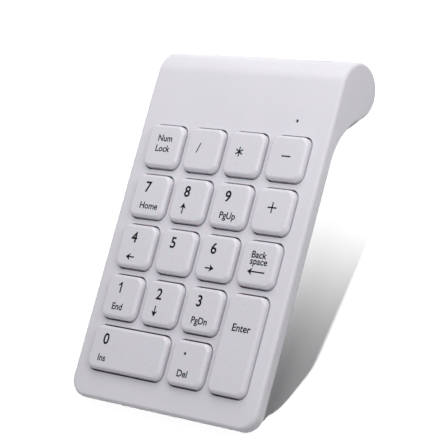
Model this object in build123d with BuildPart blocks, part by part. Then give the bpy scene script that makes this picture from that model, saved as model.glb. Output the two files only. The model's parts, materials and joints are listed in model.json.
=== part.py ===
from build123d import *

import math
import os

# A wireless numeric keypad: a thin wedge with 18 keys, carried at the back by a roll
# that holds one AA cell.
# Lengths are in millimetres. The part stands on Z = 0 with its origin under the middle of its outline.
# Most sizes are laid out along the tilted deck: x across, s back from the front edge, h above the deck.

# Casing
side_margin = 5.2  # from the block of key cells to the side of the casing
front_margin = 8.9  # from the block of key cells to the front edge
back_margin = 19.6  # from the block of key cells to the roll's axis
rim_depth = 5.2  # from the deck to the lower edge of the side walls
rim_sweep = 22.0  # radius of the hollow between side wall and roll
belly_sweep = 25.0  # radius of the hollow between underside and roll
corner_radius = 7.0
edge_round = 1.4
shell_wall = 1.8
side_wall = 2.0
floor_wall = 1.2
cover_gap = 0.1  # between the two covers all round
belly_round = 0.6
seam_angle = -35.0  # where the covers meet on the back of the roll
parting_depth = 3.0  # the bottom cover lies below this level
cover_lip = 1.0

# Feet
front_foot_setback = 10.0
front_foot_inset = 11.5  # from the side of the casing
front_foot_radius = 4.5
front_foot_height = 1.0
rear_foot_margin = 0.9  # to the door's pin and to the edge of the bottom cover
rear_foot_length = 8.0
rear_foot_corner = 1.0
rear_foot_height = 0.5
foot_recess = 0.5
foot_gap = 0.1

# Keys
key_pitch = 19.0
key_spacing = 2.7  # between one cap and the next
key_gap = 0.5  # between a cap and its opening
key_corner = 3.2
key_draft = 3.0
key_edge_round = 1.3
key_stand = 2.2  # from the deck to the top of a cap
key_wall = 1.1
key_top_wall = 1.2
key_travel = 2.0
press_gap = 0.1  # left under a pressed cap
key_rows = 5
key_columns = 4

# Key guides
stem_radius = 4.1
stem_wall = 1.0
running_gap = 0.08
sleeve_wall = 1.0
barb_width = 1.6
barb_reach = 0.7
barb_height = 0.5
barb_gap = 0.2
sleeve_bridge = 0.65  # above the window that holds a barb
post_radius = 2.0
frame_plate = 0.6
frame_rim = 1.0
frame_margin = 0.6  # beyond the block of key cells

# Switch stack, from the floor up
backplate_thickness = 0.4
membrane_thickness = 0.15
dome_base_thickness = 0.3
dome_clearance = 0.58  # from a dome to the bore around it
dome_crown_radius = 2.0
dome_wall = 0.35
dome_gap = 0.05
pad_hole_radius = 2.2

# Screws
screw_radius = 0.9
screw_head_radius = 1.8
screw_head_height = 1.1
screw_tip_gap = 0.6
screw_bite = 1.5  # in a board boss
drive_width = 2.2
drive_slot = 0.5
drive_depth = 0.6
boss_radius = 2.0
boss_gap = 0.3
recess_gap = 0.1

# Circuit board
board_thickness = 1.0
board_width = 72.0
board_depth = 9.4
board_corner = 1.0
tail_width = 24.0
tail_grip = 6.0  # the length of tail on the board
clamp_width = 30.0
clamp_depth = 3.4
clamp_height = 1.2
clamp_screw_spacing = 27.0
support_spacing = 64.0
chip_offset = -24.0
chip_size = 5.0
chip_height = 0.9
chip_bevel = 0.15
crystal_width = 2.5
crystal_length = 4.0
capacitor_length = 1.2
capacitor_width = 0.7
led_offset = 27.7
led_inset = 2.5  # from the front of the board
led_size = 1.6
led_height = 0.8
pipe_radius = 0.6
pipe_gap = 0.05
pipe_recess = 0.5
pipe_flange_radius = 1.2
pipe_flange_height = 0.6

# Power switch
switch_offset = -24.0
switch_lift = 3.27  # from the underside of the casing to the switch body
switch_length = 8.0
switch_depth = 3.4
switch_height = 1.6
knob_length = 3.2
knob_depth = 2.4
knob_travel = 2.0
knob_gap = 0.2
knob_reach = 3.4  # below the switch body
knob_flange = 0.4
knob_flange_ends = 1.0
knob_flange_sides = 0.3

# Battery bay
cell_radius = 7.25
cell_clearance = 0.95  # from the cell to the inside of the roll
cell_length = 50.5
nub_radius = 2.75
nub_length = 1.0
spring_length = 6.0
spring_wire = 0.45
spring_turns = 4
contact_thickness = 0.3
contact_margin = 2.75  # from the edge of the cell to the edge of a contact plate
bay_wall = 1.4
cradle_wall = 0.7
cradle_gap = 0.2  # to the door opening and below the top of the board
tab_depth = 2.5
tab_height = 1.2

# Battery door
door_front_angle = -128.0
door_rear_angle = -52.0
door_gap = 0.2
hinge_pin_radius = 0.45
hinge_pin_length = 1.5
grip_width = 12.0
grip_depth = 0.5
grip_start_angle = -66.0
grip_end_angle = -59.0

# Levels along the deck normal, from the cap down to the underside
cap_ceiling = key_stand - key_top_wall
sleeve_top = cap_ceiling - key_travel - press_gap
stem_bottom = sleeve_top - sleeve_bridge - press_gap - barb_height
dome_top = stem_bottom - dome_gap
upper_top = stem_bottom - key_travel - 2 * dome_base_thickness
dome_base_top = upper_top + dome_base_thickness
frame_top = dome_base_top + frame_plate
skirt_bottom = frame_top + key_travel + press_gap
spacer_top = upper_top - membrane_thickness
lower_top = spacer_top - membrane_thickness
backplate_top = lower_top - membrane_thickness
floor_top = backplate_top - backplate_thickness
belly_depth = floor_wall - floor_top
board_top = spacer_top
board_bottom = board_top - board_thickness
clamp_top = upper_top + clamp_height
switch_bottom = board_bottom - switch_height
cover_screw_length = belly_depth - shell_wall - screw_tip_gap
board_screw_length = clamp_top - board_bottom + screw_bite

# Places across and along the deck
block_width = key_columns * key_pitch
block_back = front_margin + key_rows * key_pitch
case_width = block_width + 2 * side_margin
roll_radius = cell_radius + cell_clearance + shell_wall
roll_setback = block_back + back_margin
roll_drop = -roll_radius  # level of the roll's axis
half_width = case_width / 2
inner_half = half_width - side_wall
cover_half = inner_half - cover_gap
inner_roll = roll_radius - shell_wall
stack_half = block_width / 2 + frame_margin
stack_front = front_margin - frame_margin
stack_back = block_back + frame_margin
board_back = roll_setback - inner_roll
board_front = board_back - board_depth
led_setback = board_front + led_inset
clamp_setback = board_front + tail_grip - clamp_depth / 2
screw_rows = [front_margin + rows * key_pitch for rows in (2, 4)]
screw_spots = [(across * key_pitch, s) for across in (-1, 1) for s in screw_rows]
bay_half = (cell_length + spring_length + 2 * contact_thickness) / 2
door_half = bay_half + bay_wall
pin_reach = door_half + door_gap + hinge_pin_length
hinge_radius = roll_radius - shell_wall / 2
rear_foot_width = cover_half - pin_reach - 2 * rear_foot_margin
rear_foot_offset = (cover_half + pin_reach) / 2
contact_size = 2 * (cell_radius - contact_margin)

# The switch stands where the hollow of the underside has dropped far enough below it
sweep_turn = math.asin((belly_depth + belly_sweep + roll_drop) / (roll_radius + belly_sweep))
sweep_start = roll_setback - (roll_radius + belly_sweep) * math.cos(sweep_turn)
switch_level = belly_depth + belly_sweep + switch_bottom - switch_lift
switch_setback = sweep_start + math.sqrt(belly_sweep**2 - switch_level**2)

# The tilt that puts all the feet on the table, and the deck's place above it
run = roll_setback - front_foot_setback
rise = roll_drop + belly_depth + front_foot_height
reach = roll_radius + rear_foot_height
deck_tilt = math.atan2(run, rise) - math.acos(reach / math.hypot(run, rise))
tilt_sin = math.sin(deck_tilt)
tilt_cos = math.cos(deck_tilt)
front_y = edge_round * (tilt_cos + tilt_sin - 1)
back_y = roll_setback * tilt_cos + roll_radius * tilt_sin + roll_radius
floor_level = front_foot_setback * tilt_sin - (belly_depth + front_foot_height) * tilt_cos
deck_origin = (0, -(front_y + back_y) / 2, -floor_level)
deck = Plane(origin=deck_origin, x_dir=(1, 0, 0), z_dir=(0, -tilt_sin, tilt_cos))
side = Plane(origin=deck_origin, x_dir=(0, tilt_cos, tilt_sin), z_dir=(1, 0, 0))
deck_normal = Axis((0, 0, 0), deck.z_dir)
deck_back = Axis((0, 0, 0), deck.y_dir)


def deck_plane(x=0.0, s=0.0, h=0.0):
    """A plane parallel to the deck through the point x across, s back and h up."""
    return Plane(origin=deck.from_local_coords((x, s, h)), x_dir=deck.x_dir, z_dir=deck.z_dir)


def side_plane(x=0.0, s=0.0, h=0.0):
    """An upright lengthwise plane through the point x across, s back and h up."""
    return Plane(origin=deck.from_local_coords((x, s, h)), x_dir=side.x_dir, z_dir=side.z_dir)


def on_roll(angle, radius):
    """The side view point at an angle and radius from the roll's axis."""
    turn = math.radians(angle)
    return (roll_setback + radius * math.cos(turn), roll_drop + radius * math.sin(turn))


def outline(front, inset, depth, sweep):
    """The wedge and roll in side view, with its top moved in and its underside at -depth."""
    roll = roll_radius - inset
    turn = math.asin((depth + sweep + roll_drop) / (roll + sweep))
    sweep_centre = (roll_setback - (roll + sweep) * math.cos(turn), -depth - sweep)
    turn_degrees = math.degrees(turn)
    with BuildSketch() as face:
        with BuildLine():
            Line((front, -depth), (front, -inset))
            Line((front, -inset), (roll_setback, -inset))
            CenterArc((roll_setback, roll_drop), roll, 90, turn_degrees - 270)
            CenterArc(sweep_centre, sweep, turn_degrees, 90 - turn_degrees)
            Line((sweep_centre[0], -depth), (front, -depth))
        make_face()
    return face.sketch


def underside(front, seam):
    """The side view region under the parting line, from its front edge to the seam on the roll."""
    seam_point = on_roll(seam, 3 * roll_radius)
    low = -6 * roll_radius
    with BuildSketch() as face:
        with BuildLine():
            Polyline(
                (front, low),
                (front, -parting_depth),
                (board_back, -parting_depth),
                (roll_setback, roll_drop),
                seam_point,
                (seam_point[0], low),
                close=True,
            )
        make_face()
    return face.sketch


def ring(inner, outer, start, end):
    """A stretch of the roll's wall in side view, between two radii and two angles."""
    with BuildSketch() as face:
        with BuildLine():
            Line(on_roll(start, inner), on_roll(start, outer))
            CenterArc((roll_setback, roll_drop), outer, start, end - start)
            Line(on_roll(end, outer), on_roll(end, inner))
            CenterArc((roll_setback, roll_drop), inner, end, start - end)
        make_face()
    return face.sketch


def front_corners(part):
    """The two upright edges at the front of a part."""
    return part.edges().filter_by(deck_normal).group_by(deck_back)[0]


def rear_foot_blank(margin):
    """Two blocks that reach from the table into the roll, with a margin all round."""
    table_y = side.from_local_coords((roll_setback, roll_drop)).Y
    with BuildPart() as blank:
        with BuildSketch(Plane(origin=(0, table_y, 0))):
            with Locations((-rear_foot_offset, 0), (rear_foot_offset, 0)):
                foot_size = (rear_foot_width + 2 * margin, rear_foot_length + 2 * margin)
                RectangleRounded(*foot_size, rear_foot_corner)
        extrude(amount=roll_radius / 2)
        with BuildSketch(side):
            with Locations((roll_setback, roll_drop)):
                Circle(roll_radius - foot_recess)
        extrude(amount=case_width, both=True, mode=Mode.SUBTRACT)
    return blank.part


def key_footprint(wide, deep):
    """The width and length of a cap that spans whole key cells."""
    return wide * key_pitch - key_spacing, deep * key_pitch - key_spacing


def key_spot(column, row, wide, deep):
    """The middle of a cap, counted in cells from the left column and the front row."""
    x = (column + wide / 2) * key_pitch - block_width / 2
    s = (row + deep / 2) * key_pitch + front_margin
    return x, s


def post_spots(wide, deep):
    """Where a double cap has its two side posts, from the middle of the cap."""
    return [
        (side_step * (wide - 1) * key_pitch / 2, side_step * (deep - 1) * key_pitch / 2)
        for side_step in (-1, 1)
        if wide + deep > 2
    ]


# Name, column from the left, row from the front, cells wide and cells deep
keys = [
    ("key_num_lock", 0, 4, 1, 1),
    ("key_divide", 1, 4, 1, 1),
    ("key_multiply", 2, 4, 1, 1),
    ("key_minus", 3, 4, 1, 1),
    ("key_7", 0, 3, 1, 1),
    ("key_8", 1, 3, 1, 1),
    ("key_9", 2, 3, 1, 1),
    ("key_plus", 3, 3, 1, 1),
    ("key_4", 0, 2, 1, 1),
    ("key_5", 1, 2, 1, 1),
    ("key_6", 2, 2, 1, 1),
    ("key_backspace", 3, 2, 1, 1),
    ("key_1", 0, 1, 1, 1),
    ("key_2", 1, 1, 1, 1),
    ("key_3", 2, 1, 1, 1),
    ("key_enter", 3, 0, 1, 2),
    ("key_0", 0, 0, 2, 1),
    ("key_decimal", 2, 0, 1, 1),
]
key_spots = [key_spot(*cells) for _, *cells in keys]
all_posts = [
    (x + dx, s + ds)
    for (x, s), (_, _, _, wide, deep) in zip(key_spots, keys)
    for dx, ds in post_spots(wide, deep)
]


def screws(spots, level, direction, length, margin):
    """Flat-headed screws with their heads at a level, pointing up or down, grown all round by a margin."""
    with BuildPart() as group:
        for x, s in spots:
            spot = deck_plane(x, s, level)
            head = Plane(origin=spot.origin, x_dir=spot.x_dir, z_dir=spot.z_dir * direction)
            with Locations(head):
                head_radius = screw_head_radius + margin
                shank_radius = screw_radius + margin
                base = (Align.CENTER, Align.CENTER, Align.MIN)
                Cone(head_radius, shank_radius, screw_head_height, align=base)
                Cylinder(shank_radius, length, align=base)
            if margin == 0:
                with BuildSketch(head):
                    Rectangle(drive_width, drive_slot)
                    Rectangle(drive_slot, drive_width)
                extrude(amount=drive_depth, mode=Mode.SUBTRACT)
    return group.part


def save(builder, name):
    """Label a finished piece and write it to its own file."""
    builder.part.label = name
    export_step(builder.part, f"parts/{name}.step")


os.makedirs("parts", exist_ok=True)

# Top cover: the deck, the side walls and the upper and rear part of the roll
with BuildPart() as cavity:
    with BuildSketch(side):
        add(outline(shell_wall, shell_wall, belly_depth, belly_sweep))
        add(underside(shell_wall, seam_angle))
    extrude(amount=inner_half, both=True)
    fillet(front_corners(cavity), corner_radius - shell_wall)

with BuildPart() as top_cover:
    with BuildSketch(side):
        add(outline(0, 0, rim_depth, rim_sweep))
    extrude(amount=half_width, both=True)
    fillet(front_corners(top_cover), corner_radius)
    outer_edges = top_cover.faces().filter_by(Axis.X).edges() - top_cover.edges().filter_by(deck_normal)
    fillet(outer_edges, edge_round)
    add(cavity.part, mode=Mode.SUBTRACT)
    with BuildSketch(deck):
        for (x, s), (_, _, _, wide, deep) in zip(key_spots, keys):
            across, along = key_footprint(wide, deep)
            with Locations((x, s)):
                RectangleRounded(across + 2 * key_gap, along + 2 * key_gap, key_corner + key_gap)
        with Locations((led_offset, led_setback)):
            Circle(pipe_radius + pipe_gap)
    extrude(amount=-rim_depth, mode=Mode.SUBTRACT)
    with BuildSketch(deck_plane(h=floor_top + recess_gap)):
        with Locations(*screw_spots):
            Circle(boss_radius)
            Circle(screw_radius, mode=Mode.SUBTRACT)
    extrude(amount=-shell_wall - floor_top - recess_gap)
save(top_cover, "top_cover")

# Bottom cover: the belly, the hollow under the roll, the board bosses and the battery bay
seam_step = math.degrees(cover_gap / roll_radius)
hinge_step = math.degrees((shell_wall / 2 + door_gap) / hinge_radius)
opening_front = door_front_angle - hinge_step
opening_rear = door_rear_angle + math.degrees(door_gap / roll_radius)
end_wall_radius = inner_roll - cover_gap
board_screw_spots = [(side_step * clamp_screw_spacing / 2, clamp_setback) for side_step in (-1, 1)]
support_spots = [(side_step * support_spacing / 2, clamp_setback) for side_step in (-1, 1)]
switch_slot_centre = switch_offset + knob_travel / 2
cradle_start = 180.0 - math.degrees(math.asin((board_top - cradle_gap - roll_drop) / inner_roll))
cradle_end = 360.0 + opening_front - math.degrees(cradle_gap / roll_radius)

with BuildPart() as floor_hollow:
    with BuildSketch(side):
        hollow_front = shell_wall + cover_gap + cover_lip
        add(outline(hollow_front, shell_wall, belly_depth - floor_wall, belly_sweep + floor_wall))
    extrude(amount=cover_half - cover_lip, both=True)
    fillet(front_corners(floor_hollow), corner_radius - hollow_front)
    with BuildSketch(deck_plane(h=board_bottom)):
        with Locations(*board_screw_spots, *support_spots):
            Circle(boss_radius)
    extrude(amount=-2 * roll_radius, mode=Mode.SUBTRACT)

with BuildPart() as bottom_cover:
    with BuildSketch(side):
        add(outline(0, 0, belly_depth, belly_sweep))
    extrude(amount=cover_half, both=True)
    with BuildSketch(side):
        add(underside(shell_wall + cover_gap, seam_angle - seam_step))
    extrude(amount=cover_half, both=True, mode=Mode.INTERSECT)
    fillet(front_corners(bottom_cover), corner_radius - shell_wall - cover_gap)
    fillet(bottom_cover.faces().sort_by(deck_normal)[0].edges(), belly_round)
    add(floor_hollow.part, mode=Mode.SUBTRACT)
    for wall_start in (-bay_half - bay_wall, bay_half):
        with BuildSketch(side_plane(x=wall_start)):
            with Locations((roll_setback, roll_drop)):
                Circle(end_wall_radius)
            wall_inner = end_wall_radius - bay_wall
            wall_outer = inner_roll + cover_gap
            add(ring(wall_inner, wall_outer, opening_front, seam_angle - seam_step))
        extrude(amount=bay_wall)
    with BuildSketch(side):
        add(ring(inner_roll - cradle_wall, inner_roll, cradle_start, cradle_end))
    extrude(amount=bay_half, both=True)
    with BuildSketch(side):
        add(ring(end_wall_radius, 2 * roll_radius, opening_front, opening_rear))
    extrude(amount=door_half + door_gap, both=True, mode=Mode.SUBTRACT)
    with BuildSketch(side):
        with Locations(on_roll(door_front_angle, hinge_radius)):
            Circle(hinge_pin_radius + running_gap)
    extrude(amount=pin_reach, both=True, mode=Mode.SUBTRACT)
    with BuildSketch(deck_plane(h=board_bottom)):
        with Locations(*board_screw_spots):
            Circle(screw_radius)
    extrude(amount=-screw_bite - screw_tip_gap, mode=Mode.SUBTRACT)
    with BuildSketch(deck_plane(switch_slot_centre, switch_setback, switch_bottom)):
        Rectangle(knob_length + knob_travel + 2 * knob_gap, knob_depth + 2 * knob_gap)
    extrude(amount=-2 * roll_radius, mode=Mode.SUBTRACT)
    with BuildSketch(deck_plane(0, front_foot_setback, -belly_depth)):
        with GridLocations(case_width - 2 * front_foot_inset, 0, 2, 1):
            Circle(front_foot_radius + foot_gap)
    extrude(amount=foot_recess, mode=Mode.SUBTRACT)
    add(rear_foot_blank(foot_gap), mode=Mode.SUBTRACT)
    add(screws(screw_spots, -belly_depth, 1, cover_screw_length, recess_gap), mode=Mode.SUBTRACT)
save(bottom_cover, "bottom_cover")

# Battery door: a curved plate that turns on two snap pins at its front edge
with BuildPart() as battery_door:
    with BuildSketch(side):
        add(ring(inner_roll, roll_radius, door_front_angle, door_rear_angle))
        with Locations(on_roll(door_front_angle, hinge_radius)):
            Circle(shell_wall / 2)
    extrude(amount=door_half, both=True)
    with BuildSketch(side):
        with Locations(on_roll(door_front_angle, hinge_radius)):
            Circle(hinge_pin_radius)
    extrude(amount=door_half + hinge_pin_length, both=True)
    with BuildSketch(side):
        add(ring(roll_radius - grip_depth, 2 * roll_radius, grip_start_angle, grip_end_angle))
    extrude(amount=grip_width / 2, both=True, mode=Mode.SUBTRACT)
save(battery_door, "battery_door")


def make_keycap(name, x, s, wide, deep):
    """One hollow cap with its stem and barbs and, on a double key, its side posts."""
    across, along = key_footprint(wide, deep)
    with BuildPart() as cap:
        with BuildSketch(deck_plane(x, s, skirt_bottom)):
            RectangleRounded(across, along, key_corner)
        extrude(amount=key_stand - skirt_bottom, taper=key_draft)
        fillet(cap.faces().sort_by(deck_normal)[-1].edges(), key_edge_round)
        with BuildSketch(deck_plane(x, s, skirt_bottom)):
            RectangleRounded(across - 2 * key_wall, along - 2 * key_wall, key_corner - key_wall)
        extrude(amount=cap_ceiling - skirt_bottom, mode=Mode.SUBTRACT)
        with BuildSketch(deck_plane(x, s, stem_bottom)):
            Circle(stem_radius)
            Circle(stem_radius - stem_wall, mode=Mode.SUBTRACT)
            Rectangle(2 * stem_radius - stem_wall, stem_wall)
            Rectangle(stem_wall, 2 * stem_radius - stem_wall)
            with Locations(*post_spots(wide, deep)):
                Circle(post_radius)
        extrude(amount=cap_ceiling - stem_bottom)
        with BuildSketch(deck_plane(x, s, stem_bottom)):
            Rectangle(2 * (stem_radius + barb_reach), barb_width)
            Circle(stem_radius - stem_wall, mode=Mode.SUBTRACT)
        extrude(amount=barb_height)
    save(cap, name)


for (name, _, _, wide, deep), (x, s) in zip(keys, key_spots):
    make_keycap(name, x, s, wide, deep)

# Key guide frame: one sleeve for each stem and post, on a plate with a stiffening rim
stack_depth = stack_back - stack_front
stack_middle = (stack_front + stack_back) / 2
bore_radius = stem_radius + running_gap
sleeve_radius = bore_radius + sleeve_wall
window_length = 2 * (sleeve_radius + barb_gap)
window_top = sleeve_top - sleeve_bridge
dome_radius = bore_radius - dome_clearance
rim_top = -shell_wall - press_gap
with BuildPart() as key_guide_frame:
    with BuildSketch(deck_plane(0, stack_middle, dome_base_top)):
        Rectangle(2 * stack_half, stack_depth)
    extrude(amount=frame_plate)
    with BuildSketch(deck_plane(0, stack_middle, dome_base_top)):
        Rectangle(2 * stack_half, stack_depth)
        Rectangle(2 * (stack_half - frame_rim), stack_depth - 2 * frame_rim, mode=Mode.SUBTRACT)
    extrude(amount=rim_top - dome_base_top)
    with BuildSketch(deck_plane(h=dome_base_top)):
        with Locations(*key_spots):
            Circle(sleeve_radius)
        with Locations(*all_posts):
            Circle(post_radius + running_gap + sleeve_wall)
    extrude(amount=sleeve_top - dome_base_top)
    with BuildSketch(deck_plane(h=dome_base_top)):
        with Locations(*key_spots):
            Circle(bore_radius)
        with Locations(*all_posts):
            Circle(post_radius + running_gap)
        with Locations(*screw_spots):
            Circle(boss_radius + boss_gap)
    extrude(amount=sleeve_top - dome_base_top, mode=Mode.SUBTRACT)
    with BuildSketch(deck_plane(h=dome_base_top)):
        with Locations(*key_spots):
            Rectangle(window_length, barb_width + 2 * barb_gap)
    extrude(amount=window_top - dome_base_top, mode=Mode.SUBTRACT)
save(key_guide_frame, "key_guide_frame")

# Dome sheet: one rubber dome under each stem
with BuildPart() as dome_sheet:
    with BuildSketch(deck_plane(0, stack_middle, upper_top)):
        Rectangle(2 * stack_half, stack_depth)
    extrude(amount=dome_base_thickness)
    with BuildSketch(deck_plane(h=upper_top)):
        with Locations(*screw_spots):
            Circle(boss_radius + boss_gap)
        with Locations(*key_spots):
            Circle(dome_radius - 2 * dome_wall)
    extrude(amount=dome_base_thickness, mode=Mode.SUBTRACT)
    for x, s in key_spots:
        dome_foot = deck.from_local_coords((x, s, 0))
        with BuildSketch(Plane(origin=dome_foot, x_dir=(1, 0, 0), z_dir=-deck.y_dir)):
            with BuildLine():
                Polyline(
                    (dome_radius, dome_base_top),
                    (dome_radius - dome_wall, dome_base_top + dome_wall),
                    (dome_crown_radius, dome_top - dome_wall),
                    (dome_crown_radius, dome_top),
                    (0, dome_top),
                    (0, dome_top - 2 * dome_wall),
                    (dome_crown_radius - dome_wall, dome_top - 2 * dome_wall),
                    (dome_radius - 2 * dome_wall, dome_base_top),
                    close=True,
                )
            make_face()
        revolve(axis=Axis(dome_foot, deck.z_dir))
save(dome_sheet, "dome_sheet")


def make_sheet(name, level, thickness, pad_holes, tail):
    """One flat sheet of the switch stack, with room for the screw bosses."""
    with BuildPart() as sheet:
        with BuildSketch(deck_plane(h=level)):
            with Locations((0, stack_middle)):
                Rectangle(2 * stack_half, stack_depth)
            if tail:
                with Locations((0, stack_back)):
                    tail_reach = board_front + tail_grip - stack_back
                    Rectangle(tail_width, tail_reach, align=(Align.CENTER, Align.MIN))
            with Locations(*screw_spots):
                Circle(boss_radius + boss_gap, mode=Mode.SUBTRACT)
            if pad_holes:
                with Locations(*key_spots):
                    Circle(pad_hole_radius, mode=Mode.SUBTRACT)
        extrude(amount=thickness)
    save(sheet, name)


make_sheet("membrane_upper", spacer_top, membrane_thickness, False, True)
make_sheet("membrane_spacer", lower_top, membrane_thickness, True, False)
make_sheet("membrane_lower", backplate_top, membrane_thickness, False, False)
make_sheet("backplate", floor_top, backplate_thickness, False, False)

# Circuit board and what is on it
board_middle = (board_front + board_back) / 2
with BuildPart() as circuit_board:
    with BuildSketch(deck_plane(0, board_middle, board_bottom)):
        RectangleRounded(board_width, board_depth, board_corner)
    extrude(amount=board_thickness)
    with BuildSketch(deck_plane(h=board_bottom)):
        with Locations(*board_screw_spots):
            Circle(screw_radius + recess_gap)
    extrude(amount=board_thickness, mode=Mode.SUBTRACT)
save(circuit_board, "circuit_board")

with BuildPart() as controller_chip:
    with BuildSketch(deck_plane(chip_offset, board_middle, board_top)):
        Rectangle(chip_size, chip_size)
    extrude(amount=chip_height)
    chamfer(controller_chip.faces().sort_by(deck_normal)[-1].edges(), chip_bevel)
save(controller_chip, "controller_chip")

with BuildPart() as crystal:
    with BuildSketch(deck_plane(chip_offset - chip_size, board_middle, board_top)):
        RectangleRounded(crystal_width, crystal_length, crystal_width / 4)
    extrude(amount=chip_height)
save(crystal, "crystal")

with BuildPart() as chip_capacitors:
    with BuildSketch(deck_plane(chip_offset + chip_size, board_middle, board_top)):
        with GridLocations(2 * capacitor_length, 2 * capacitor_length, 2, 2):
            Rectangle(capacitor_length, capacitor_width)
    extrude(amount=capacitor_width)
save(chip_capacitors, "chip_capacitors")

with BuildPart() as status_led:
    with BuildSketch(deck_plane(led_offset, led_setback, board_top)):
        Rectangle(led_size, led_height)
    extrude(amount=led_height)
save(status_led, "status_led")

with BuildPart() as light_pipe:
    with BuildSketch(deck_plane(led_offset, led_setback, board_top + led_height)):
        Circle(pipe_radius)
    extrude(amount=-pipe_recess - board_top - led_height)
    with BuildSketch(deck_plane(led_offset, led_setback, -shell_wall)):
        Circle(pipe_flange_radius)
    extrude(amount=-pipe_flange_height)
save(light_pipe, "light_pipe")

with BuildPart() as tail_clamp:
    with BuildSketch(deck_plane(0, clamp_setback, upper_top)):
        RectangleRounded(clamp_width, clamp_depth, clamp_depth / 4)
    extrude(amount=clamp_height)
    add(screws(board_screw_spots, clamp_top, -1, board_screw_length, recess_gap), mode=Mode.SUBTRACT)
save(tail_clamp, "tail_clamp")

with BuildPart() as board_screws:
    add(screws(board_screw_spots, clamp_top, -1, board_screw_length, 0))
save(board_screws, "board_screws")

with BuildPart() as cover_screws:
    add(screws(screw_spots, -belly_depth, 1, cover_screw_length, 0))
save(cover_screws, "cover_screws")

# Power switch: a body under the board and a sliding knob that reaches through the bottom cover
with BuildPart() as power_switch_body:
    with BuildSketch(deck_plane(switch_offset, switch_setback, board_bottom)):
        Rectangle(switch_length, switch_depth)
    extrude(amount=-switch_height)
save(power_switch_body, "power_switch_body")

with BuildPart() as power_switch_knob:
    with BuildSketch(deck_plane(switch_offset, switch_setback, switch_bottom - dome_gap)):
        Rectangle(knob_length, knob_depth)
    extrude(amount=-knob_reach)
    with BuildSketch(deck_plane(switch_offset, switch_setback, switch_bottom - dome_gap)):
        Rectangle(knob_length + 2 * knob_flange_ends, knob_depth + 2 * knob_flange_sides)
    extrude(amount=-knob_flange)
save(power_switch_knob, "power_switch_knob")

# Battery bay: the cell, its two contact plates and the coil spring behind it
cell_start = bay_half - contact_thickness - cell_length
with BuildPart() as battery_cell:
    with BuildSketch(side_plane(cell_start, roll_setback, roll_drop)):
        Circle(cell_radius)
    extrude(amount=cell_length - nub_length)
    fillet(battery_cell.edges(), nub_length / 2)
    with BuildSketch(side_plane(cell_start + cell_length - nub_length, roll_setback, roll_drop)):
        Circle(nub_radius)
    extrude(amount=nub_length)
save(battery_cell, "battery_cell")


def make_contact(name, x):
    """A contact plate against the bay's end wall, with a tab that stands on the circuit board."""
    plate_front = roll_setback - contact_size / 2
    with BuildPart() as contact:
        with BuildSketch(side_plane(x)):
            with Locations((roll_setback, roll_drop)):
                Rectangle(contact_size, contact_size)
            with Locations((plate_front, roll_drop)):
                riser = board_top + tab_height - roll_drop
                Rectangle(tab_depth, riser, align=(Align.MIN, Align.MIN))
            with Locations((board_back - tab_depth, board_top)):
                tab_reach = plate_front + 2 * tab_depth - board_back
                Rectangle(tab_reach, tab_height, align=(Align.MIN, Align.MIN))
        extrude(amount=contact_thickness)
    save(contact, name)


make_contact("positive_contact", bay_half - contact_thickness)
make_contact("negative_contact", -bay_half)

spring_start = -bay_half + contact_thickness + spring_wire
spring_height = spring_length - 2 * spring_wire
with BuildPart() as battery_spring:
    with BuildLine() as coil:
        Helix(
            pitch=spring_height / spring_turns,
            height=spring_height,
            radius=nub_radius,
            center=deck.from_local_coords((spring_start, roll_setback, roll_drop)),
            direction=(1, 0, 0),
        )
    with BuildSketch(Plane(origin=coil.line @ 0, z_dir=coil.line % 0)):
        Circle(spring_wire)
    sweep(is_frenet=True)
save(battery_spring, "battery_spring")

# Feet: cut level with the table
with BuildPart() as front_feet:
    with BuildSketch(deck_plane(0, front_foot_setback, foot_recess - belly_depth)):
        with GridLocations(case_width - 2 * front_foot_inset, 0, 2, 1):
            Circle(front_foot_radius)
    extrude(amount=-2 * foot_recess - 2 * front_foot_height)
    split(bisect_by=Plane.XY, keep=Keep.TOP)
save(front_feet, "front_feet")

with BuildPart() as rear_feet:
    add(rear_foot_blank(0))
save(rear_feet, "rear_feet")
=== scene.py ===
import json
import math

import bmesh
import bpy
from mathutils import Matrix, Vector


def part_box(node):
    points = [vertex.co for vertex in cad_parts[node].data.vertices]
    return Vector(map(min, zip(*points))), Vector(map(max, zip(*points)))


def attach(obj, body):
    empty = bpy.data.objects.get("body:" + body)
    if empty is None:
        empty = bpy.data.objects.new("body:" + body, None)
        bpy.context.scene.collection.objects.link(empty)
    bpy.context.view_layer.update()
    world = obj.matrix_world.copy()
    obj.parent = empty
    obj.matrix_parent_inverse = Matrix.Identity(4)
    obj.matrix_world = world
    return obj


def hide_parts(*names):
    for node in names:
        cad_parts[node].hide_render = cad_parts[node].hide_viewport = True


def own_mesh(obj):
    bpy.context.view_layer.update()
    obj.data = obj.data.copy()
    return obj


# Finishes, printed legends and studio for a numeric keypad. Lengths are in metres unless a name or
# comment says otherwise; sizes on the key tops are in millimetres and laid out along the deck.
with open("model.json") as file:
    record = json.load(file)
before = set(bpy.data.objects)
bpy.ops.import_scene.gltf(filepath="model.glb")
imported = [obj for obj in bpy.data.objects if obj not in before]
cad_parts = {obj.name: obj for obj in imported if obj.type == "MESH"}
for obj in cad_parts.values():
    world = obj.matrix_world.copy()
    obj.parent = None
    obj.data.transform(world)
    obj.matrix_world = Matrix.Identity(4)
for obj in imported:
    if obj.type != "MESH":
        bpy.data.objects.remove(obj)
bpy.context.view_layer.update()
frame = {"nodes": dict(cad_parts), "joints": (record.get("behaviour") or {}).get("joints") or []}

MM = 0.001

# View
view_target = Vector((7.711, 1.606, 14.445)) * MM
view_azimuth = math.radians(69.951)  # from the front towards the right
view_elevation = math.radians(46.624)
view_roll = math.radians(-55.840)
view_distance = 645.836 * MM
lens_length = 148.79

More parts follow.
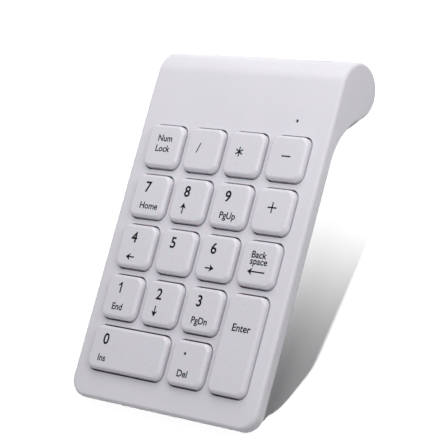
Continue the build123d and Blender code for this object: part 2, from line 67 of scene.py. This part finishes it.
# Print on the keys, in millimetres
ink_thickness = 0.02
ink_lift = 0.008
ink_spread = 0.020  # how far a letter's strokes swell, for each millimetre of its size
print_left = -3.0  # the left edge of the print, from the middle of a key cell
digit_size = 5.6
digit_left = print_left + 0.3
digit_base = 1.25
word_size = 3.45
word_base = -4.9
backspace_left = print_left - 0.2
enter_size = 3.7
enter_left = print_left - 0.3
stroke = 0.5
slash_width = 0.4
slash_lean = 72  # degrees
sign_length = 3.9
sign_level = 0.5
arrow_length = 4.0
long_arrow_length = 7.6
arrow_head = 2.1
arrow_notch = 0.75  # how deep the head is up to its notch, as a share of arrow_head
arrow_width = 2.7
shaft_overlap = 0.1

# Parting of the dome sheet
foot_level = 0.3 * MM  # above the underside of the sheet
dome_reach = 3.8 * MM  # from the middle of a dome

# Smoothing of the moulded pieces
crease_angle = math.radians(38)
weld_distance = 0.002 * MM
flat_angle = math.radians(0.05)

# Directions along the deck: the keys are pressed along its normal
press_joint = next(j for j in frame["joints"] if j["name"] == "key_5_press")
deck_up = Vector(press_joint["axis"]).normalized()
deck_right = Vector((1, 0, 0))
deck_back = deck_up.cross(deck_right)
to_deck = Matrix((deck_right, deck_back, deck_up))
from_deck = to_deck.transposed()
key_bodies = [j["child"] for j in frame["joints"] if j["name"].endswith("_press")]


def select_only(piece):
    """Leave one piece selected and active."""
    bpy.ops.object.select_all(action="DESELECT")
    piece.select_set(True)
    bpy.context.view_layer.objects.active = piece


def extent(node):
    """Lowest and highest corners of a node along the deck's own directions."""
    spots = [to_deck @ v.co for v in frame["nodes"][node].data.vertices]
    low = Vector([min(spot[i] for spot in spots) for i in range(3)])
    high = Vector([max(spot[i] for spot in spots) for i in range(3)])
    return low, high


# ---------------------------------------------------------------------------------------------
# Finishes
# ---------------------------------------------------------------------------------------------

def new_finish(name, metallic=0.0, transmission=0.0, ior=1.5):
    """A material with its shader, its node tree and the piece's own coordinates."""
    material = bpy.data.materials.new(name)
    material.use_nodes = True
    tree = material.node_tree
    shader = tree.nodes["Principled BSDF"]
    shader.inputs["Metallic"].default_value = metallic
    shader.inputs["Transmission Weight"].default_value = transmission
    shader.inputs["IOR"].default_value = ior
    place = tree.nodes.new("ShaderNodeTexCoord").outputs["Object"]
    return material, tree, shader, place


def noise(tree, place, size, detail=2.0, stretch=(1, 1, 1)):
    """Cloudy noise with blotches about one size across, in millimetres."""
    mapping = tree.nodes.new("ShaderNodeMapping")
    mapping.inputs["Scale"].default_value = stretch
    texture = tree.nodes.new("ShaderNodeTexNoise")
    texture.inputs["Scale"].default_value = 1 / (size * MM)
    texture.inputs["Detail"].default_value = detail
    tree.links.new(place, mapping.inputs["Vector"])
    tree.links.new(mapping.outputs["Vector"], texture.inputs["Vector"])
    return texture.outputs["Fac"]


def spread(tree, value, low, high, start=0.3, end=0.7):
    """Stretch a value onto a range."""
    node = tree.nodes.new("ShaderNodeMapRange")
    node.inputs["From Min"].default_value = start
    node.inputs["From Max"].default_value = end
    node.inputs["To Min"].default_value = low
    node.inputs["To Max"].default_value = high
    tree.links.new(value, node.inputs["Value"])
    return node.outputs["Result"]


def between(tree, value, first, second):
    """A colour between two colours."""
    node = tree.nodes.new("ShaderNodeMix")
    node.data_type = "RGBA"
    for socket, colour in ((node.inputs[6], first), (node.inputs[7], second)):
        if isinstance(colour, tuple):
            socket.default_value = (*colour, 1)
        else:
            tree.links.new(colour, socket)
    tree.links.new(value, node.inputs[0])
    return node.outputs[2]


def relief(tree, shader, height, depth, strength=1.0):
    """Give a surface fine relief of a depth in millimetres."""
    node = tree.nodes.new("ShaderNodeBump")
    node.inputs["Distance"].default_value = depth * MM
    node.inputs["Strength"].default_value = strength
    tree.links.new(height, node.inputs["Height"])
    tree.links.new(node.outputs["Normal"], shader.inputs["Normal"])


def moulded_plastic(name, light, dark, gloss, grain, depth, subsurface=0.0):
    """Satin moulded plastic: faint flow clouds, fine specks, uneven gloss and an even grain."""
    cloud_size, gloss_patch, speck_size, speck_shade = 24, 3, 0.5, 0.965
    material, tree, shader, place = new_finish(name)
    clouds = spread(tree, noise(tree, place, cloud_size, 3), 0, 1)
    tint = between(tree, clouds, light, dark)
    specks = spread(tree, noise(tree, place, speck_size, 1), 0, 0.35, 0.45, 0.8)
    speck_tint = tuple(speck_shade * channel for channel in dark)
    tree.links.new(between(tree, specks, tint, speck_tint), shader.inputs["Base Color"])
    patches = spread(tree, noise(tree, place, gloss_patch), *gloss)
    tree.links.new(patches, shader.inputs["Roughness"])
    relief(tree, shader, noise(tree, place, grain), depth)
    if subsurface:
        shader.inputs["Subsurface Weight"].default_value = subsurface
        shader.inputs["Subsurface Scale"].default_value = 1.0 * MM
    return material


def polished_metal(name, light, dark, gloss, stretch=(1, 1, 1), grain=0.3):
    """Plated or rolled metal: drawn streaks and small dulled patches."""
    patch_size, streak_depth = 4, 0.004
    material, tree, shader, place = new_finish(name, metallic=1.0)
    tint = between(tree, spread(tree, noise(tree, place, patch_size, 3), 0, 1), light, dark)
    tree.links.new(tint, shader.inputs["Base Color"])
    streaks = noise(tree, place, grain, 3, stretch)
    tree.links.new(spread(tree, streaks, *gloss), shader.inputs["Roughness"])
    relief(tree, shader, streaks, streak_depth)
    return material


def clear_film(name):
    """Clear polyester film with rows of printed silver lines."""
    line_pitch = 6
    material, tree, shader, place = new_finish(name, transmission=0.5, ior=1.57)
    lines = tree.nodes.new("ShaderNodeTexWave")
    lines.bands_direction = "Y"
    lines.inputs["Scale"].default_value = 1 / (line_pitch * MM)
    lines.inputs["Distortion"].default_value = 1.5
    tree.links.new(place, lines.inputs["Vector"])
    printed = spread(tree, lines.outputs["Fac"], 0, 1, 0.9, 0.95)
    haze = between(tree, noise(tree, place, 8), (0.80, 0.84, 0.86), (0.72, 0.78, 0.82))
    tree.links.new(between(tree, printed, haze, (0.55, 0.55, 0.56)), shader.inputs["Base Color"])
    tree.links.new(spread(tree, noise(tree, place, 5), 0.12, 0.25), shader.inputs["Roughness"])
    return material


def green_laminate(name):
    """Circuit board: green solder resist over the raised lines of the copper."""
    track_pitch, track_height = 2.4, 0.03
    material, tree, shader, place = new_finish(name)
    cells = tree.nodes.new("ShaderNodeTexBrick")
    cells.inputs["Scale"].default_value = 1 / (track_pitch * MM)
    cells.inputs["Mortar Size"].default_value = 0.07
    for face in ("Color1", "Color2"):
        cells.inputs[face].default_value = (0, 0, 0, 1)
    cells.inputs["Mortar"].default_value = (1, 1, 1, 1)
    tree.links.new(place, cells.inputs["Vector"])
    tracks = cells.outputs["Color"]
    resist = between(tree, noise(tree, place, 3), (0.010, 0.13, 0.045), (0.016, 0.17, 0.060))
    tree.links.new(between(tree, tracks, resist, (0.03, 0.26, 0.08)), shader.inputs["Base Color"])
    tree.links.new(spread(tree, noise(tree, place, 1), 0.22, 0.34), shader.inputs["Roughness"])
    relief(tree, shader, tracks, track_height)
    return material


def cell_sleeve(name):
    """Printed sleeve of a dry cell: a dark body with a metallic band at its positive end."""
    material, tree, shader, place = new_finish(name)
    low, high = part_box("battery_cell")
    axes = tree.nodes.new("ShaderNodeSeparateXYZ")
    tree.links.new(place, axes.inputs["Vector"])
    print_edge = 0.1 * MM
    band_start = low.x + 0.72 * (high.x - low.x)
    steel_start = high.x - 1.6 * MM
    band = spread(tree, axes.outputs["X"], 0, 1, band_start, band_start + print_edge)
    steel = spread(tree, axes.outputs["X"], 0, 1, steel_start, steel_start + print_edge)
    body = between(tree, noise(tree, place, 6), (0.020, 0.021, 0.024), (0.030, 0.031, 0.035))
    sleeve = between(tree, band, body, (0.62, 0.33, 0.10))
    tree.links.new(between(tree, steel, sleeve, (0.70, 0.70, 0.71)), shader.inputs["Base Color"])
    tree.links.new(band, shader.inputs["Metallic"])
    tree.links.new(spread(tree, noise(tree, place, 2), 0.24, 0.36), shader.inputs["Roughness"])
    relief(tree, shader, noise(tree, place, 1.5), 0.006)
    return material


# Plastics and metals: light and dark tint, least and most roughness, then the grain's size and
# depth in millimetres where they are given
casing_white = moulded_plastic(
    "casing_white", (0.800, 0.783, 0.826), (0.775, 0.758, 0.800), (0.40, 0.50), 0.16, 0.008, 0.1)
key_white = moulded_plastic(
    "key_white", (0.785, 0.768, 0.808), (0.768, 0.750, 0.790), (0.26, 0.34), 0.14, 0.005, 0.1)
underside_white = moulded_plastic(
    "underside_white", (0.74, 0.725, 0.76), (0.71, 0.695, 0.735), (0.48, 0.60), 0.20, 0.014)
guide_grey = moulded_plastic(
    "guide_grey", (0.36, 0.34, 0.35), (0.32, 0.30, 0.31), (0.5, 0.62), 0.2, 0.01)
switch_black = moulded_plastic(
    "switch_black", (0.030, 0.030, 0.032), (0.022, 0.022, 0.024), (0.4, 0.55), 0.15, 0.01)
chip_black = moulded_plastic(
    "chip_black", (0.035, 0.035, 0.037), (0.026, 0.026, 0.028), (0.55, 0.7), 0.08, 0.008)
foot_rubber = moulded_plastic(
    "foot_rubber", (0.060, 0.060, 0.062), (0.045, 0.045, 0.047), (0.7, 0.85), 0.35, 0.03)
dome_silicone = moulded_plastic(
    "dome_silicone", (0.74, 0.76, 0.74), (0.70, 0.72, 0.70), (0.42, 0.55), 0.4, 0.01, 0.4)
capacitor_ceramic = moulded_plastic(
    "capacitor_ceramic", (0.42, 0.30, 0.18), (0.36, 0.25, 0.15), (0.45, 0.6), 0.1, 0.006)
legend_ink = moulded_plastic(
    "legend_ink", (0.004, 0.004, 0.005), (0.007, 0.007, 0.008), (0.6, 0.75), 0.1, 0.004)
legend_ink.node_tree.nodes["Principled BSDF"].inputs["Specular IOR Level"].default_value = 0.2
light_lens = moulded_plastic(
    "light_lens", (0.060, 0.050, 0.060), (0.045, 0.038, 0.045), (0.15, 0.25), 0.3, 0.002)
bright_plate = polished_metal("bright_plate", (0.75, 0.75, 0.76), (0.66, 0.66, 0.68), (0.14, 0.28))
spring_wire = polished_metal("spring_wire", (0.70, 0.70, 0.72), (0.60, 0.60, 0.62), (0.2, 0.34))
backplate_steel = polished_metal(
    "backplate_steel", (0.58, 0.58, 0.59), (0.50, 0.50, 0.52), (0.3, 0.48), (1, 14, 14), 2.0)
screw_steel = polished_metal("screw_steel", (0.40, 0.40, 0.41), (0.30, 0.30, 0.31), (0.3, 0.45))
membrane_film = clear_film("membrane_film")
board_green = green_laminate("board_green")
battery_sleeve = cell_sleeve("battery_sleeve")

node_finishes = {
    "key_guide_frame": guide_grey,
    "membrane_upper": membrane_film,
    "membrane_spacer": membrane_film,
    "membrane_lower": membrane_film,
    "backplate": backplate_steel,
    "circuit_board": board_green,
    "controller_chip": chip_black,
    "crystal": bright_plate,
    "chip_capacitors": capacitor_ceramic,
    "status_led": light_lens,
    "tail_clamp": guide_grey,
    "board_screws": screw_steel,
    "power_switch_body": chip_black,
    "positive_contact": bright_plate,
    "negative_contact": bright_plate,
}
for node, finish in node_finishes.items():
    for slot in frame["nodes"][node].material_slots:
        slot.material = finish

# ---------------------------------------------------------------------------------------------
# Moulded pieces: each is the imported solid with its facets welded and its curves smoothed
# ---------------------------------------------------------------------------------------------

def smoothed(node, body, finish):
    """A smooth-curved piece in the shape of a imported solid."""
    piece = bpy.data.objects.new(node + "_moulding", frame["nodes"][node].data.copy())
    bpy.context.scene.collection.objects.link(piece)
    select_only(piece)
    bpy.ops.object.mode_set(mode="EDIT")
    bpy.ops.mesh.select_all(action="SELECT")
    bpy.ops.mesh.remove_doubles(threshold=weld_distance)
    bpy.ops.mesh.dissolve_limited(angle_limit=flat_angle)
    bpy.ops.object.mode_set(mode="OBJECT")
    bpy.ops.object.shade_smooth_by_angle(angle=crease_angle)
    weights = piece.modifiers.new("even_curves", "WEIGHTED_NORMAL")
    weights.keep_sharp = True
    weights.weight = 100
    bpy.ops.object.modifier_apply(modifier=weights.name)
    piece.data.materials.clear()
    piece.data.materials.append(finish)
    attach(piece, body)
    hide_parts(node)
    return piece


smoothed("top_cover", "casing", casing_white)
smoothed("bottom_cover", "casing", underside_white)
smoothed("battery_door", "battery_door", underside_white)
smoothed("front_feet", "casing", foot_rubber)
smoothed("rear_feet", "casing", foot_rubber)
smoothed("cover_screws", "casing", screw_steel)
smoothed("power_switch_knob", "power_switch_knob", switch_black)
smoothed("light_pipe", "casing", light_lens)
smoothed("battery_cell", "casing", battery_sleeve)
smoothed("battery_spring", "casing", spring_wire)
for key in key_bodies:
    smoothed(key, key, key_white)

# ---------------------------------------------------------------------------------------------
# Domes: the silicone sheet is parted at the foot of each dome, and each dome is made a piece of its
# own
# ---------------------------------------------------------------------------------------------

def welded_sheet(name):
    """A welded copy of the dome sheet, open for more work in edit mode."""
    piece = bpy.data.objects.new(name, frame["nodes"]["dome_sheet"].data.copy())
    bpy.context.scene.collection.objects.link(piece)
    select_only(piece)
    bpy.ops.object.mode_set(mode="EDIT")
    bpy.ops.mesh.select_all(action="SELECT")
    bpy.ops.mesh.remove_doubles(threshold=weld_distance)
    bpy.ops.object.mode_set(mode="OBJECT")
    return piece


def pick_faces(piece, wanted):
    """Select the faces whose middles are wanted, and leave the piece in edit mode."""
    bpy.context.tool_settings.mesh_select_mode = (False, False, True)
    for part in (piece.data.vertices, piece.data.edges, piece.data.polygons):
        part.foreach_set("select", [False] * len(part))
    for face in piece.data.polygons:
        face.select = wanted(to_deck @ face.center)
    bpy.ops.object.mode_set(mode="EDIT")


def close_foot(piece, spots):
    """Join the inner and the outer edge of each cut foot."""
    bpy.ops.mesh.select_mode(type="EDGE")
    for spot in spots:
        bpy.ops.mesh.select_all(action="DESELECT")
        mesh = bmesh.from_edit_mesh(piece.data)
        for edge in mesh.edges:
            middle = to_deck @ ((edge.verts[0].co + edge.verts[1].co) / 2)
            if edge.is_boundary and (middle - spot).xy.length < dome_reach:
                edge.select = True
        bmesh.update_edit_mesh(piece.data)
        bpy.ops.mesh.bridge_edge_loops()
    bpy.ops.mesh.select_all(action="SELECT")
    bpy.ops.mesh.normals_make_consistent(inside=False)
    bpy.ops.object.mode_set(mode="OBJECT")
    bpy.ops.object.shade_smooth_by_angle(angle=crease_angle)
    piece.data.materials.clear()
    piece.data.materials.append(dome_silicone)
    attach(piece, "casing")


def on_dome(middle, spot):
    """Whether the middle of a face lies on the dome at a spot, above its foot."""
    return middle.z >= dome_foot + weld_distance and (middle - spot).xy.length <= dome_reach


sheet_low, sheet_high = extent("dome_sheet")
dome_foot = sheet_low.z + foot_level
dome_spots = {}
for key in key_bodies:
    low, high = extent(key)
    dome_spots[key] = (low + high) / 2

sheet = welded_sheet("dome_sheet_web")
pick_faces(sheet, lambda middle: middle.z > dome_foot + weld_distance)
bpy.ops.mesh.delete(type="FACE")
close_foot(sheet, dome_spots.values())
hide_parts("dome_sheet")

for key, spot in dome_spots.items():
    dome = welded_sheet(key.replace("key_", "dome_"))
    pick_faces(dome, lambda middle: not on_dome(middle, spot))
    bpy.ops.mesh.delete(type="FACE")
    close_foot(dome, [spot])
    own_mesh(dome)

# ---------------------------------------------------------------------------------------------
# Print on the keys
# ---------------------------------------------------------------------------------------------

def text_shape(words, size, left, base):
    """Words standing on a base line from a left edge, in millimetres."""
    bpy.ops.object.select_all(action="DESELECT")
    bpy.ops.object.text_add()
    shape = bpy.context.object
    shape.data.body = words
    shape.data.size = size
    shape.data.extrude = ink_thickness / 2
    shape.data.bevel_depth = ink_spread * size
    shape.data.bevel_resolution = 0
    shape.data.resolution_u = 4
    bpy.ops.object.convert(target="MESH")
    shape = bpy.context.object
    start = min(v.co.x for v in shape.data.vertices)
    flat = ink_thickness / (ink_thickness + 2 * ink_spread * size)
    settle = Matrix.Translation((left - start, base, 0)) @ Matrix.Diagonal((1, 1, flat, 1))
    shape.data.transform(settle)
    return shape


def turned(x, y, turn):
    """The move that turns a shape by degrees about its middle and puts that at x, y."""
    return Matrix.Translation((x, y, 0)) @ Matrix.Rotation(math.radians(turn), 4, "Z")


def bar_shape(length, x, y, turn=0.0, width=stroke):
    """A straight stroke with square ends."""
    bpy.ops.object.select_all(action="DESELECT")
    bpy.ops.mesh.primitive_cube_add(size=1)
    shape = bpy.context.object
    shape.data.transform(Matrix.Diagonal((length, width, ink_thickness, 1)))
    shape.data.transform(turned(x, y, turn))
    return shape


def arrow_shapes(length, x, y, turn):
    """An arrow: a swept-back head and a thin shaft, pointing right before it is turned."""
    bpy.ops.object.select_all(action="DESELECT")
    bpy.ops.mesh.primitive_circle_add(vertices=4, radius=arrow_width / 2, fill_type="NGON")
    head = bpy.context.object
    tip = length / 2
    notch = tip - arrow_notch * arrow_head
    for vertex in head.data.vertices:
        side = round(2 * vertex.co.y / arrow_width)
        if side:
            vertex.co.x = tip - arrow_head
        else:
            vertex.co.x = tip if vertex.co.x > 0 else notch
    bpy.ops.object.mode_set(mode="EDIT")
    bpy.ops.mesh.select_all(action="SELECT")
    bpy.ops.mesh.extrude_region_move(TRANSFORM_OT_translate={"value": (0, 0, ink_thickness)})
    bpy.ops.mesh.select_all(action="SELECT")
    bpy.ops.mesh.normals_make_consistent(inside=False)
    bpy.ops.object.mode_set(mode="OBJECT")
    head.data.transform(Matrix.Translation((0, 0, -ink_thickness / 2)))
    shaft_end = notch + shaft_overlap
    shaft = bar_shape(shaft_end + tip, (shaft_end - tip) / 2, 0)
    for shape in (head, shaft):
        shape.data.transform(turned(x, y, turn))
    return [head, shaft]


def dot_shape(x, y):
    """A round full stop."""
    bpy.ops.object.select_all(action="DESELECT")
    bpy.ops.mesh.primitive_cylinder_add(vertices=24, radius=stroke, depth=ink_thickness)
    shape = bpy.context.object
    shape.data.transform(Matrix.Translation((x, y, 0)))
    return shape


def digit(text):
    """A digit at the upper left of a key cell."""
    return [text_shape(text, digit_size, digit_left, digit_base)]


def digit_one():
    """The digit one: an upright stroke and a short flag."""
    return [bar_shape(4.0, -1.1, 3.25, 90, 0.62), bar_shape(1.6, -1.65, 4.5, 40, 0.55)]


def word(text):
    """A small word at the lower left of a key cell."""
    return [text_shape(text, word_size, print_left, word_base)]


def print_legend(key, shapes, column=0.0, row=0.0):
    """Join the shapes printed on one key and lay them on its top, about a cell of that key.

    The cell's middle is column to the right of the key's middle and row behind it, in metres.
    """
    low, high = extent(key)
    spot = (low + high) / 2
    spot.z = high.z + ink_lift * MM
    spot += Vector((column, row, 0))
    bpy.ops.object.select_all(action="DESELECT")
    for shape in shapes:
        shape.select_set(True)
    legend = shapes[0]
    bpy.context.view_layer.objects.active = legend
    if len(shapes) > 1:
        bpy.ops.object.join()
    legend.name = key.replace("key_", "legend_")
    legend.data.transform(from_deck.to_4x4() @ Matrix.Translation(spot) @ Matrix.Scale(MM, 4))
    legend.location = (0, 0, 0)
    select_only(legend)
    bpy.ops.object.mode_set(mode="EDIT")
    bpy.ops.mesh.select_all(action="SELECT")
    bpy.ops.mesh.remove_doubles(threshold=ink_thickness * MM / 10)
    bpy.ops.mesh.normals_make_consistent(inside=False)
    bpy.ops.object.mode_set(mode="OBJECT")
    legend.data.materials.clear()
    legend.data.materials.append(legend_ink)
    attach(legend, key)


low_key, high_key = extent("key_5")
low_zero, high_zero = extent("key_0")
key_pitch = (high_zero.x - low_zero.x) - (high_key.x - low_key.x)

# Places on a key cell are from its middle, and turns are in degrees
print_legend("key_num_lock", [
    text_shape("Num", word_size, print_left, 1.7),
    text_shape("Lock", word_size, print_left, -2.2)])
print_legend("key_divide", [bar_shape(sign_length, -1.8, sign_level, slash_lean, slash_width)])
print_legend("key_multiply", [
    bar_shape(sign_length * 0.9, -1.8, sign_level, turn) for turn in (90, 30, -30)])
print_legend("key_minus", [bar_shape(sign_length, 0.2, sign_level)])
print_legend("key_plus", [
    bar_shape(sign_length, 0.1, sign_level + 0.5), bar_shape(sign_length, 0.1, sign_level + 0.5, 90)])
print_legend("key_7", digit("7") + word("Home"))
print_legend("key_8", digit("8") + arrow_shapes(arrow_length, -1.5, -3.1, 90))
print_legend("key_9", digit("9") + word("PgUp"))
print_legend("key_4", digit("4") + arrow_shapes(arrow_length, -1.0, -4.2, 180))
print_legend("key_5", digit("5"))
print_legend("key_6", digit("6") + arrow_shapes(arrow_length, -1.2, -4.0, 0))
print_legend("key_1", digit_one() + word("End"))
print_legend("key_2", digit("2") + arrow_shapes(arrow_length, -1.6, -3.1, -90))
print_legend("key_3", digit("3") + word("PgDn"))
print_legend("key_0", digit("0") + word("Ins"), column=-key_pitch / 2)
print_legend("key_decimal", [dot_shape(-1.7, 3.3)] + word("Del"))
print_legend("key_enter", [text_shape("Enter", enter_size, enter_left, -5.0)], row=key_pitch / 2)
print_legend("key_backspace", [
    text_shape("Back", word_size, backspace_left, 1.95),
    text_shape("space", word_size, backspace_left, -0.35),
    *arrow_shapes(long_arrow_length, 0.4, -2.9, 180)])

# ---------------------------------------------------------------------------------------------
# Studio
# ---------------------------------------------------------------------------------------------

floor_size = 80
floor_drop = 0.05 * MM  # how far the floor lies below the feet
bpy.ops.object.select_all(action="DESELECT")
bpy.ops.mesh.primitive_plane_add(size=floor_size, location=(0, 0, -floor_drop))
floor = bpy.context.object
floor.name = "studio_floor"
floor_finish, tree, shader, place = new_finish("studio_paper")
paper = between(tree, noise(tree, place, 30, 3), (0.328, 0.328, 0.330), (0.330, 0.330, 0.332))
tree.links.new(paper, shader.inputs["Base Color"])
shader.inputs["Roughness"].default_value = 1.0
shader.inputs["Specular IOR Level"].default_value = 0.0
# Seen from beneath, the paper is clear, so the underside of the keypad shows
sides = tree.nodes.new("ShaderNodeNewGeometry")
clear = tree.nodes.new("ShaderNodeBsdfTransparent")
either = tree.nodes.new("ShaderNodeMixShader")
tree.links.new(sides.outputs["Backfacing"], either.inputs["Fac"])
tree.links.new(shader.outputs["BSDF"], either.inputs[1])
tree.links.new(clear.outputs["BSDF"], either.inputs[2])
tree.links.new(either.outputs["Shader"], tree.nodes["Material Output"].inputs["Surface"])
floor.data.materials.append(floor_finish)
floor.visible_diffuse = False


def outward(azimuth, elevation):
    """A direction by its azimuth, from the front towards the right, and its elevation, in radians."""
    return Vector((
        math.sin(azimuth) * math.cos(elevation),
        -math.cos(azimuth) * math.cos(elevation),
        math.sin(elevation)))


def aim(obj, spot, roll=0.0):
    """Turn a lamp or camera to look at a spot."""
    facing = (spot - obj.location).to_track_quat("-Z", "Y").to_matrix()
    obj.rotation_euler = (facing @ Matrix.Rotation(roll, 3, "Z")).to_euler()


def hang_lamp(name, kind, power, azimuth, elevation, distance, spot=(0, 0, 0)):
    """A lamp that looks at a spot, with its azimuth and elevation in degrees."""
    spot = Vector(spot)
    lamp = bpy.data.objects.new(name, bpy.data.lights.new(name, kind))
    bpy.context.scene.collection.objects.link(lamp)
    lamp.data.energy = power
    lamp.location = spot + distance * outward(math.radians(azimuth), math.radians(elevation))
    aim(lamp, spot)
    return lamp


# One soft box lights the keypad from behind and one from the right
back_lamp = hang_lamp("back_softbox", "AREA", 0.44, azimuth=190, elevation=44, distance=0.34)
back_lamp.data.size = 0.20
side_lamp = hang_lamp("side_softbox", "AREA", 0.86, azimuth=110, elevation=32, distance=0.48)
side_lamp.data.size = 0.30

# A soft box beneath stands for the light that pale paper throws up on the underside
underside = bpy.data.collections.new("underside")
for node in ("bottom_cover", "battery_door", "front_feet", "rear_feet", "cover_screws",
             "power_switch_knob", "battery_cell", "battery_spring"):
    underside.objects.link(bpy.data.objects[node + "_moulding"])
under_lamp = hang_lamp("under_softbox", "AREA", 1.1, azimuth=20, elevation=-70, distance=0.50)
under_lamp.data.size = 0.40
under_lamp.light_linking.receiver_collection = underside
under_lamp.light_linking.blocker_collection = underside

# Two lamps light the floor alone: a low one lays a long shadow to the back right of the keypad,
# and a wide spot fades that shadow out towards the back
floor_only = bpy.data.collections.new("floor_only")
floor_only.objects.link(floor)
shadow_lamp = hang_lamp("shadow_lamp", "SUN", 31.0, azimuth=-25.7, elevation=15.5, distance=1.0)
shadow_lamp.data.angle = math.radians(3)
fade_lamp = hang_lamp(
    "fade_lamp", "SPOT", 116.0, azimuth=100, elevation=28, distance=0.6, spot=(0.06, 0.15, 0))
fade_lamp.data.spot_size = math.radians(31.2)
fade_lamp.data.spot_blend = 0.5
fade_lamp.data.shadow_soft_size = 0.03
for lamp in (shadow_lamp, fade_lamp):
    lamp.light_linking.receiver_collection = floor_only

# Air: it lights the keypad more from above than from the sides and below
low_height, high_height = -0.2, 0.3
low_strength, high_strength = 0.14, 0.47
world = bpy.data.worlds.new("studio_air")
bpy.context.scene.world = world
world.use_nodes = True
tree = world.node_tree
air = tree.nodes["Background"]
air.inputs["Color"].default_value = (0.97, 0.97, 1.0, 1)
direction = tree.nodes.new("ShaderNodeTexCoord")
height = tree.nodes.new("ShaderNodeSeparateXYZ")
tree.links.new(direction.outputs["Generated"], height.inputs["Vector"])
glow = spread(tree, height.outputs["Z"], low_strength, high_strength, low_height, high_height)
tree.links.new(glow, air.inputs["Strength"])
# The air itself looks as pale as the floor
backdrop = tree.nodes.new("ShaderNodeBackground")
backdrop.inputs["Color"].default_value = (1, 1, 1, 1)
rays = tree.nodes.new("ShaderNodeLightPath")
seen = tree.nodes.new("ShaderNodeMixShader")
tree.links.new(rays.outputs["Is Camera Ray"], seen.inputs["Fac"])
tree.links.new(air.outputs["Background"], seen.inputs[1])
tree.links.new(backdrop.outputs["Background"], seen.inputs[2])
tree.links.new(seen.outputs["Shader"], tree.nodes["World Output"].inputs["Surface"])

bpy.context.scene.view_settings.view_transform = "Standard"

camera_data = bpy.data.cameras.new("view_camera")
camera_data.lens = lens_length
camera_data.sensor_width = 36
camera_data.clip_end = 50
camera = bpy.data.objects.new("view_camera", camera_data)
bpy.context.scene.collection.objects.link(camera)
camera.location = view_target + view_distance * outward(view_azimuth, view_elevation)
aim(camera, view_target, view_roll)
bpy.context.scene.camera = camera

bpy.context.view_layer.update()
